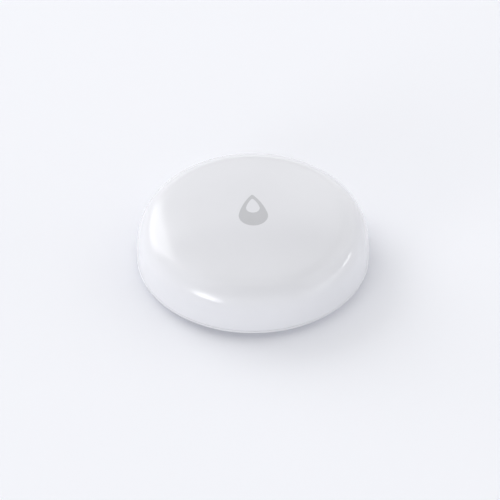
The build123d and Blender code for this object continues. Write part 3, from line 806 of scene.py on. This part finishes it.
coin_slot = stretched(turned("coin_slot", [
    (0, 0), (slot_mouth, 0), (slot_mouth, foot_height),
    (coin_slot_radius, foot_height + coin_slot_flare, lip_round),
    (coin_slot_radius, coin_slot_top, edge_round), (0, coin_slot_top),
], long_slot_steps), coin_slot_reach)
arrow = bar("arrow", arrow_radius, 0, mark_top, steps=3)
moved(arrow, arrow_circle, 0, mark_angle)
added = [copied(lug, angle=angle) for angle in thread_angles] + [trough]
added += [copied(pad, pad_circle, angle=angle) for angle in pad_angles]
joined(cover, together(added), "UNION")
joined(cover, together([coin_slot, arrow]), "DIFFERENCE")
bpy.data.objects.remove(lug)
bpy.data.objects.remove(pad)
evened(cover)
worn_white = moulded("worn_white", (0.69, 0.695, 0.725), drift=0.01, shine=0.36, dull=0.5,
                     grain_size=0.22, grain_depth=0.004)
coat(cover, worn_white)
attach(cover, "cover")
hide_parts("battery_cover")

# Probes: two stainless steel screws with smooth round heads that stand on the floor. Each goes up
# through a seal and a boss of the base to the board, where a washer and a nut hold it.
probe_head_radius = 1.9
probe_head_height = 1.2
probe_head_round = 0.5
probe_shank_radius = 1.0
probe_end = 10.9
probe_point = 0.2
probe_thread_pitch = 0.4
probe_thread_depth = 0.12
probe_thread_turns = 7
crest_share = 0.3
root_share = 0.65
ring_spacing = 0.314        # what Blender's wave rings are apart, in metres, at a scale of 1


def threaded(corners, radius, start, pitch, depth, turns):
    """Goes on up a shank from the start of its thread, one crest and one root a turn."""
    for index in range(turns):
        foot = start + index * pitch
        root = (radius - depth, foot + root_share * pitch)
        corners += [(radius, foot), (radius, foot + crest_share * pitch), root]
    return corners + [(radius, start + turns * pitch)]


def steel(name, colour, shine, dull, middle, ring_pitch, ring_depth):
    """Turned steel: fine rings about one middle line, a few stray scratches, and handling haze."""
    paint, nodes, links, shader, place = finish(name, colour, shine, 1.0)
    around = nodes.new("ShaderNodeMapping")
    around.inputs["Location"].default_value = (-middle[0] * mm, -middle[1] * mm, 0)
    rings = nodes.new("ShaderNodeTexWave")
    rings.wave_type = "RINGS"
    rings.rings_direction = "Z"
    rings.inputs["Scale"].default_value = ring_spacing / (ring_pitch * mm)
    rings.inputs["Distortion"].default_value = 0.4
    rings.inputs["Detail"].default_value = 2.0
    links.new(place, around.inputs["Vector"])
    links.new(around.outputs["Vector"], rings.inputs["Vector"])
    haze = grain(nodes, links, place, size=1.4, detail=4.0)
    dark = [channel * 0.86 for channel in colour]
    links.new(tones(nodes, links, haze, dark, colour), shader.inputs["Base Color"])
    links.new(between(nodes, links, haze, dull, shine), shader.inputs["Roughness"])
    scratches = grain(nodes, links, place, size=0.5, detail=3.0, stretch=(1.0, 0.06, 0.3))
    relief(nodes, links, shader, scratches, ring_depth * 2)
    relief(nodes, links, shader, rings.outputs["Fac"], ring_depth)
    return paint


probe_corners = [
    (0, 0), (probe_head_radius, 0, probe_head_round),
    (probe_head_radius, probe_head_height, sharp_round), (probe_shank_radius, probe_head_height),
]
thread_start = probe_end - probe_point - probe_thread_turns * probe_thread_pitch
probe_corners = threaded(probe_corners, probe_shank_radius, thread_start, probe_thread_pitch,
                         probe_thread_depth, probe_thread_turns)
probe_corners += [(probe_shank_radius - probe_point, probe_end), (0, probe_end)]
probe = turned("probe", probe_corners, 96, 8)
for side, angle in (("right", 0.0), ("left", 180.0)):
    piece = copied(probe, probe_circle, angle=angle)
    piece.name = piece.data.name = "probe_pin_" + side
    evened(piece)
    middle = (probe_circle * cos(radians(angle)), 0)
    coat(piece, steel("probe_steel_" + side, (0.62, 0.62, 0.63), shine=0.2, dull=0.34,
                      middle=middle, ring_pitch=0.09, ring_depth=0.0008))
    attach(piece, "housing")
    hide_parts("probe_" + side)
bpy.data.objects.remove(probe)

# Shell screws: three small zinc-plated screws with cross recesses. They go up through the roof of
# the battery bay into the bosses of the dome, and so hold the two shells together.
head_radius = 1.4
head_round = 0.35
head_low = 5.6
head_high = 6.8
shank_radius = 0.8
shank_end = 11.2
point_radius = 0.25
screw_thread_start = 8.2
screw_thread_pitch = 0.5
screw_thread_depth = 0.14
screw_thread_turns = 5
recess_width = 0.35
recess_reach = 0.75
recess_depth = 0.6
recess_heart = (0.42, 0.2)
screw_corners = [
    (0, head_low), (head_radius, head_low, head_round), (head_radius, head_high, sharp_round),
    (shank_radius, head_high),
]
screw_corners = threaded(screw_corners, shank_radius, screw_thread_start, screw_thread_pitch,
                         screw_thread_depth, screw_thread_turns)
screw_corners += [(point_radius, shank_end), (0, shank_end)]
screw = turned("screw", screw_corners, 72, 6)
recess_foot = head_low - overrun
recess_top = head_low + recess_depth
arm_size = (2 * recess_reach, recess_width, recess_depth + overrun)
arm = block("arm", (0, 0, recess_foot), arm_size)
cross_arm = moved(block("cross_arm", (0, 0, recess_foot), arm_size), 0, 0, 90)
heart = turned("heart", [
    (0, recess_foot), (recess_heart[0], recess_foot), (recess_heart[0], head_low),
    (recess_heart[1], recess_top), (0, recess_top),
], 24)
joined(screw, joined(joined(arm, cross_arm, "UNION"), heart, "UNION"), "DIFFERENCE")
evened(screw)
zinc = steel("screw_zinc", (0.60, 0.60, 0.58), shine=0.26, dull=0.42,
             middle=(0, 0), ring_pitch=0.15, ring_depth=0.0008)
for index, angle in enumerate(screw_angles):
    piece = copied(screw, screw_circle, angle=angle)
    piece.name = piece.data.name = "shell_screw_%d" % (index + 1)
    coat(piece, zinc)
    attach(piece, "housing")
    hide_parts("shell_screws")
bpy.data.objects.remove(screw)

# Coin cell: a pressed nickel-plated can with a ring pressed into its face round a plus sign. The
# cap sits in it on a plastic sealing ring, and the cap faces the roof of the bay.
can_radius = 10.0
can_low = 3.0
can_high = 5.9
can_round = 0.3
well_radius = 8.9
well_low = 4.6
face_ring = (7.4, 7.9)
face_step = 0.06
plus_length = 3.0
plus_width = 0.6
plus_place = 3.4
ring_inner, ring_outer = face_ring
face_pressed = can_low + face_step
can = turned("cell_can", [
    (0, can_low), (ring_inner, can_low, sharp_round), (ring_inner, face_pressed),
    (ring_outer, face_pressed), (ring_outer, can_low, sharp_round),
    (can_radius, can_low, can_round), (can_radius, can_high, can_round),
    (well_radius, can_high), (well_radius, well_low), (0, well_low),
], 192)
plus_foot = (0, plus_place, can_low - overrun)
plus_height = overrun + face_step
level_stroke = block("level_stroke", plus_foot, (plus_length, plus_width, plus_height))
upright_stroke = block("upright_stroke", plus_foot, (plus_width, plus_length, plus_height))
joined(can, joined(level_stroke, upright_stroke, "UNION"), "DIFFERENCE")
evened(can)
can_nickel = steel("can_nickel", (0.66, 0.65, 0.62), shine=0.24, dull=0.36,
                   middle=(0, 0), ring_pitch=0.25, ring_depth=0.0006)
coat(can, can_nickel)
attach(can, "housing")
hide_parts("coin_cell_can")

# Inside the can: the cap is pressed bright steel, and the sealing ring round it is grey nylon.
# Both are shapes of the frame that only need their finish.


def dress(name, paint):
    """Gives a piece of the frame its material, and leaves its shape alone."""
    coat(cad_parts[name], paint)


cap_nickel = steel("cap_nickel", (0.68, 0.67, 0.65), shine=0.18, dull=0.3,
                   middle=(0, 0), ring_pitch=0.3, ring_depth=0.0005)
dress("coin_cell_cap", cap_nickel)
nylon_grey = moulded("nylon_grey", (0.21, 0.23, 0.21), drift=0.04, shine=0.45, dull=0.6,
                     grain_size=0.1, grain_depth=0.002)
dress("coin_cell_gasket", nylon_grey)

# Cell contacts: two strips of nickel-plated spring sheet, cut and bent. One presses on the cap,
# the other on the side of the can, and both go up through the roof to the board.


def sheet_metal(name, colour, shine, dull, along):
    """Rolled sheet: fine lines along one direction, and duller patches from handling."""
    paint, nodes, links, shader, place = finish(name, colour, shine, 1.0)
    rolled = grain(nodes, links, place, size=0.08, stretch=along)
    haze = grain(nodes, links, place, size=1.8, detail=3.0)
    dark = [channel * 0.85 for channel in colour]
    links.new(tones(nodes, links, haze, dark, colour), shader.inputs["Base Color"])
    links.new(between(nodes, links, rolled, shine, dull), shader.inputs["Roughness"])
    relief(nodes, links, shader, rolled, depth=0.001)
    return paint


contact_nickel = sheet_metal("contact_nickel", (0.60, 0.57, 0.51), shine=0.25, dull=0.4,
                             along=(0.04, 1, 1))
dress("battery_negative_contact", contact_nickel)
dress("battery_positive_contact", contact_nickel)

# Seals: soft grey silicone rings, one between the shells, one round the skirt of the cover, and
# one under the head of each probe. Silicone has a waxy bloom with fine dust on it.


def silicone(name, colour, bloom):
    """Soft rubber: a paler bloom in clouds, fine dust that dulls it, and a faint sheen."""
    paint, nodes, links, shader, place = finish(name, colour, 0.5)
    cloud = grain(nodes, links, place, size=2.2, detail=4.0)
    dust = grain(nodes, links, place, size=0.09)
    links.new(tones(nodes, links, cloud, colour, bloom), shader.inputs["Base Color"])
    links.new(between(nodes, links, dust, 0.42, 0.62), shader.inputs["Roughness"])
    shader.inputs["Sheen Weight"].default_value = 0.15
    shader.inputs["Sheen Roughness"].default_value = 0.4
    relief(nodes, links, shader, dust, depth=0.002)
    return paint


seal_grey = silicone("seal_grey", (0.085, 0.09, 0.10), (0.115, 0.12, 0.13))
for name in ("shell_seal", "battery_cover_seal", "probe_seal_left", "probe_seal_right"):
    dress(name, seal_grey)

# Washers and nuts of the probes: a stamped washer and a turned nut of plain steel on each probe,
# screwed down onto the board.
for name, angle in (("right", 0.0), ("left", 180.0)):
    middle = (probe_circle * cos(radians(angle)), 0)
    fastener = steel("nut_steel_" + name, (0.58, 0.58, 0.57), shine=0.28, dull=0.42,
                     middle=middle, ring_pitch=0.12, ring_depth=0.001)
    dress("probe_washer_" + name, fastener)
    dress("probe_nut_" + name, fastener)

# Circuit board: glass-fibre board under green solder mask. Tracks show through the mask as
# slightly raised lighter lines, and the weave of the glass shows faintly between them.
track_cell_size = 3.2
track_spacing = 0.11
track_edge = (0.06, 0.075)
board_green, nodes, links, shader, place = finish("board_green", (0.008, 0.09, 0.035), 0.3)
track_cells = nodes.new("ShaderNodeTexVoronoi")
track_cells.distance = "CHEBYCHEV"
track_cells.feature = "F1"
track_cells.inputs["Scale"].default_value = 1 / (track_cell_size * mm)
track_cells.inputs["Randomness"].default_value = 0.75
links.new(place, track_cells.inputs["Vector"])
stripes = nodes.new("ShaderNodeMath")
stripes.operation = "PINGPONG"
stripes.inputs[1].default_value = track_spacing
links.new(track_cells.outputs["Distance"], stripes.inputs[0])
tracks = between(nodes, links, stripes.outputs[0], 0, 1, *track_edge)
weave = grain(nodes, links, place, size=0.35, detail=1.0, stretch=(1, 0.25, 1))
mask_tone = tones(nodes, links, tracks, (0.006, 0.075, 0.03), (0.02, 0.16, 0.06), 0, 1)
links.new(mask_tone, shader.inputs["Base Color"])
links.new(between(nodes, links, weave, 0.25, 0.38), shader.inputs["Roughness"])
relief(nodes, links, shader, weave, depth=0.003)
relief(nodes, links, shader, tracks, depth=0.03)
dress("circuit_board", board_green)

# Antenna: a copper track along the edge of the board. It is bare of solder mask, so it has
# tarnished a little.
copper, nodes, links, shader, place = finish("track_copper", (0.72, 0.36, 0.20), 0.3, 1.0)
tarnish = grain(nodes, links, place, size=1.2, detail=4.0)
links.new(tones(nodes, links, tarnish, (0.42, 0.19, 0.12), (0.76, 0.40, 0.24)),
          shader.inputs["Base Color"])
links.new(between(nodes, links, tarnish, 0.45, 0.24), shader.inputs["Roughness"])
dress("antenna_trace", copper)

# Push switch: a black moulded body with a steel retainer plate, a sprung steel snap dome, a black
# plunger and four plated terminals.
epoxy_black = moulded("epoxy_black", (0.022, 0.022, 0.025), drift=0.15, shine=0.42, dull=0.6,
                      grain_size=0.07, grain_depth=0.003, flow_size=2.0)
plunger_black = moulded("plunger_black", (0.03, 0.03, 0.032), drift=0.1, shine=0.3, dull=0.42,
                        grain_size=0.09, grain_depth=0.001, flow_size=1.5)
retainer_steel = sheet_metal("retainer_steel", (0.56, 0.56, 0.55), shine=0.22, dull=0.36,
                             along=(1, 0.04, 1))
terminal_plate = sheet_metal("terminal_plate", (0.62, 0.60, 0.56), shine=0.28, dull=0.42,
                             along=(0.04, 1, 1))
dress("switch_housing", epoxy_black)
dress("switch_plunger", plunger_black)
dress("switch_retainer", retainer_steel)
dress("switch_snap_dome", retainer_steel)
dress("switch_terminals", terminal_plate)

# Light guide and lamp: the guide is clear plastic with a frosted top that spreads the light of
# the indicator lamp below the drop symbol. The lamp has a cream lens.
guide_clear, nodes, links, shader, place = finish("guide_clear", (0.93, 0.95, 0.96), 0.2)
frost = grain(nodes, links, place, size=0.12, detail=3.0)
links.new(between(nodes, links, frost, 0.22, 0.5), shader.inputs["Roughness"])
links.new(tones(nodes, links, frost, (0.90, 0.93, 0.95), (0.96, 0.97, 0.98)),
          shader.inputs["Base Color"])
shader.inputs["Transmission Weight"].default_value = 0.85
shader.inputs["IOR"].default_value = 1.49
relief(nodes, links, shader, frost, depth=0.004)
dress("light_guide", guide_clear)
lens_cream = moulded("lens_cream", (0.69, 0.64, 0.32), drift=0.05, shine=0.2, dull=0.32,
                     grain_size=0.1, grain_depth=0.001, flow_size=0.6)
lens = lens_cream.node_tree.nodes["Principled BSDF"]
lens.inputs["Subsurface Weight"].default_value = 0.2
lens.inputs["Subsurface Radius"].default_value = (0.3 * mm, 0.25 * mm, 0.1 * mm)
dress("status_led", lens_cream)

# Parts on the board: chips of black epoxy, a drawn steel shield over the radio, a plated crystal
# can, a dark ferrite inductor, tan ceramic capacitors and black resistors.
for name in ("radio_chip", "memory_chip", "resistors"):
    dress(name, epoxy_black)
shield_tin = sheet_metal("shield_tin", (0.63, 0.62, 0.58), shine=0.25, dull=0.42,
                         along=(0.05, 1, 1))
dress("radio_shield", shield_tin)
crystal_plate = sheet_metal("crystal_plate", (0.66, 0.62, 0.52), shine=0.2, dull=0.34,
                            along=(1, 0.05, 1))
dress("crystal", crystal_plate)
ferrite = moulded("ferrite", (0.06, 0.058, 0.062), drift=0.12, shine=0.5, dull=0.68,
                  grain_size=0.08, grain_depth=0.006, flow_size=0.8)
dress("inductor", ferrite)
ceramic_tan = moulded("ceramic_tan", (0.34, 0.21, 0.10), drift=0.1, shine=0.35, dull=0.5,
                      grain_size=0.1, grain_depth=0.002, flow_size=0.7)
dress("capacitors", ceramic_tan)
